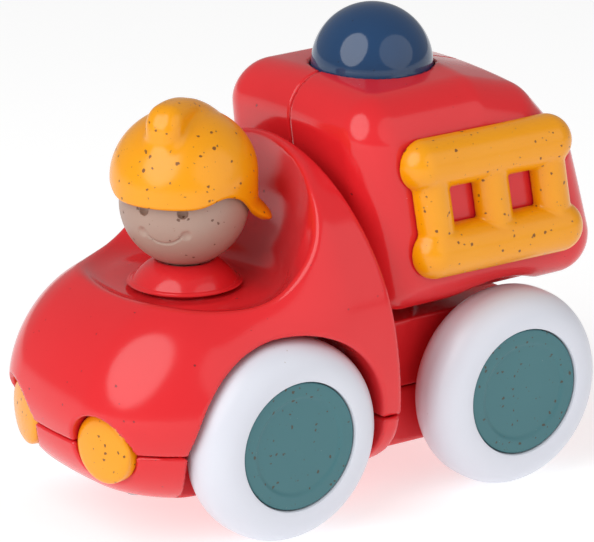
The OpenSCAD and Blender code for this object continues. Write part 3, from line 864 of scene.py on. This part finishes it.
# A cheek ring and an eye: middle (forward, sideways, up), radius and edge radius.
face_dents = (((17.1, 6.7, -5.2), 2.68, 0.12), ((15.5, 5.2, 1.4), 1.45, 0.2))
neck_bore_r = 4.0


def to_head(x, y, z, turn):
    """Forward, sideways and up from the middle of the head."""
    dx, dy = x - head_centre[0], y - head_centre[1]
    side = dx * math.cos(turn) + dy * math.sin(turn)
    back = -dx * math.sin(turn) + dy * math.cos(turn)
    return -back, side, z - head_centre[2]


def head_field(x, y, z):
    forward, side, up = to_head(x, y, z, head_turn)
    head = np.sqrt(forward**2 + side**2 + up**2) - head_r
    arc_gap = np.hypot(side, up - smile_up) - smile_r
    mouth = np.hypot(arc_gap, np.maximum(0, np.abs(side) - smile_end)) - smile_half
    mouth = np.where((up < -4.6) & (forward > 0), mouth, 9.0)
    groove = np.maximum(mouth, -head - smile_depth)
    head = cut(head, groove, smile_edge_r)
    for s in (-1, 1):
        for (ahead, apart, height), r, edge_r in face_dents:
            dent = np.sqrt((forward - ahead) ** 2 + (side - s * apart) ** 2 + (up - height) ** 2) - r
            head = cut(head, dent, edge_r)
    bore = np.maximum(np.hypot(x, y - driver_y) - neck_bore_r, z - head_z + 4)
    return np.maximum(head, -bore)


low, high = box_mm("driver_head")
head = moulding("head", head_field, low, high, 0.33, stone)
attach(head, "driver")
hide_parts("driver_head")

helmet_r = 19.2
helmet_top = 17.4
helmet_lift = 7.1
helmet_wall = 1.8
visor_hem = 2.7
ear_rise = 2.1
nape_drop = 8.2
flare = 3.6
crest_half = 5.0
crest_front = 15.0
crest_back = 18.2
crest_arc_r = 34.0


def helmet_field(x, y, z):
    """A cap with walls below it that flare at the nape, a waved hem and a crest along the middle."""
    forward, side, up = to_head(x, y, z, helmet_turn)
    angle = np.degrees(np.abs(np.arctan2(side, forward)))
    below = np.maximum(0, helmet_lift - up)
    above = np.maximum(0, up - helmet_lift)
    round_r = np.hypot(forward + 0.08 * above, side)
    reach = helmet_r + step(angle, 82, 114) * flare * step(below, 6.0, 12.0)
    reach = reach + (1 - step(angle, 25, 50)) * 0.06 * below
    squash = helmet_r / helmet_top
    cap = (np.hypot(round_r, above * squash) - helmet_r) / squash**0.5
    skin = np.where(up > helmet_lift, cap, round_r - reach)
    hem = visor_hem + ear_rise * np.exp(-(((angle - 61) / 16) ** 2))
    hem = hem - nape_drop * step(angle, 74, 119)
    thick = helmet_wall + 1.6 * step(below, 7.0, 11.0)
    shell = np.abs(skin + thick / 2) - thick / 2
    shell = meet(shell, (hem - up) * 0.9, 0.9)
    ridge = np.hypot(forward - 7.0, up + 5.8) - crest_arc_r
    crest = meet(meet(ridge, forward - crest_front, 5.5), -forward - crest_back, 7.0)
    crest = meet(crest, np.abs(side) - crest_half, 4.2)
    crest = np.maximum(crest, -(skin + helmet_wall))
    return join(shell, crest, 1.6)


low, high = box_mm("helmet")
helmet = moulding("fire_helmet", helmet_field, low - 3, high + 3, 0.48, yellow)
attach(helmet, "driver")
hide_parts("helmet")


# ---------------------------------------------------------------------------
# Inner and underside pieces
# The steel axles, pins and screws, the nylon bushes and the squeaker keep their CAD
# shape and take a finish of their own.


def steel_finish():
    f = Finish("bright_steel")
    brushed = f.noise(1.5, 4.0)
    f.set(
        Base_Color=f.mix(f.noise(0.2, 3.0), colour("#B9BCC2"), colour("#9EA2A9")),
        Metallic=1.0,
        Roughness=(brushed * 0.15 + 0.22).limited(),
        Normal=f.bump(brushed, 0.1, 0.0002),
    )
    return f.material


def plain_plastic(name, first, second, rough):
    f = Finish(name)
    grain = f.noise(1.2, 3.0)
    f.set(
        Base_Color=f.mix(f.noise(0.1, 2.0), colour(first), colour(second)),
        Roughness=(grain * 0.1 + rough).limited(),
        Normal=f.bump(grain, 0.1, 0.0003),
    )
    return f.material


def brass_finish():
    f = Finish("reed_brass")
    f.set(
        Base_Color=f.mix(f.noise(0.5, 3.0), colour("#C9A25B"), colour("#A88342")),
        Metallic=1.0,
        Roughness=(f.noise(1.0) * 0.1 + 0.25).limited(),
    )
    return f.material


steel = steel_finish()
finishes = {
    "axle_front": (steel, "steel"),
    "axle_rear": (steel, "steel"),
    "neck_clip": (steel, "steel"),
    "tray_screws": (steel, "steel"),
    "body_screws": (steel, "steel"),
    "chassis_screws": (steel, "steel"),
    "neck_pin": (stone, "face"),
    "axle_bushes": (plain_plastic("nylon", "#E8E2D2", "#DDD5C2", 0.45), "nylon"),
    "squeaker_tray": (plain_plastic("tray_plastic", "#E9E9EC", "#DEDEE2", 0.4), "white_wheel"),
    "squeaker_bellows": (plain_plastic("bellows_rubber", "#D9B98A", "#CDA977", 0.6), "soft_bellows"),
    "squeaker_reed": (brass_finish(), "brass_reed"),
}
for node, (finish, slot) in finishes.items():
    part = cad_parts[node]
    part.data.materials.clear()
    part.data.materials.append(finish)


# ---------------------------------------------------------------------------
# Studio
# A pale floor, a pale surround and soft lights, with the camera in front of the left
# corner and above the bonnet.

floor_mesh = bpy.data.meshes.new("floor")
floor_mesh.from_pydata([(-4, -4, 0), (4, -4, 0), (4, 4, 0), (-4, 4, 0)], [], [(0, 1, 2, 3)])
floor = bpy.data.objects.new("floor", floor_mesh)
bpy.context.scene.collection.objects.link(floor)
f = Finish("floor_paint")
f.set(
    Base_Color=f.mix(f.noise(0.002), colour("#D2D2D2"), colour("#CDCDCD")),
    Roughness=0.7,
    Emission_Color=(1, 1, 1, 1),
    Emission_Strength=0.58,
)
floor_mesh.materials.append(f.material)

world = bpy.data.worlds.new("surround")
world.use_nodes = True
world.node_tree.nodes["Background"].inputs[0].default_value = (1, 1, 1, 1)
world.node_tree.nodes["Background"].inputs[1].default_value = 0.36
bpy.context.scene.world = world


def soft_light(name, place, target, size, power):
    light = bpy.data.lights.new(name, "AREA")
    light.shape = "ELLIPSE"
    light.size, light.size_y = size
    light.energy = power
    stand = bpy.data.objects.new(name, light)
    stand.location = place
    stand.rotation_euler = (Vector(target) - Vector(place)).to_track_quat("-Z", "Y").to_euler()
    bpy.context.scene.collection.objects.link(stand)


soft_light("key", (0.16, -0.8, 0.66), (0, 0, 0.05), (0.95, 1.2), 7.6)
soft_light("fill", (1.5, 0.5, 0.9), (0, 0, 0.05), (2.4, 2.0), 9.5)

camera_data = bpy.data.cameras.new("camera")
camera_data.sensor_width = 36
camera_data.lens = 254.94
camera_data.clip_start = 0.01
camera_data.clip_end = 20
camera = bpy.data.objects.new("camera", camera_data)
bpy.context.scene.collection.objects.link(camera)
camera.location = (0.865737, -0.612176, 0.398219)
aim = Vector((-0.015996, 0.013123, 0.050493))
camera.rotation_euler = (aim - camera.location).to_track_quat("-Z", "Y").to_euler()
bpy.context.scene.camera = camera

view = bpy.context.scene.view_settings
view.view_transform = "Standard"
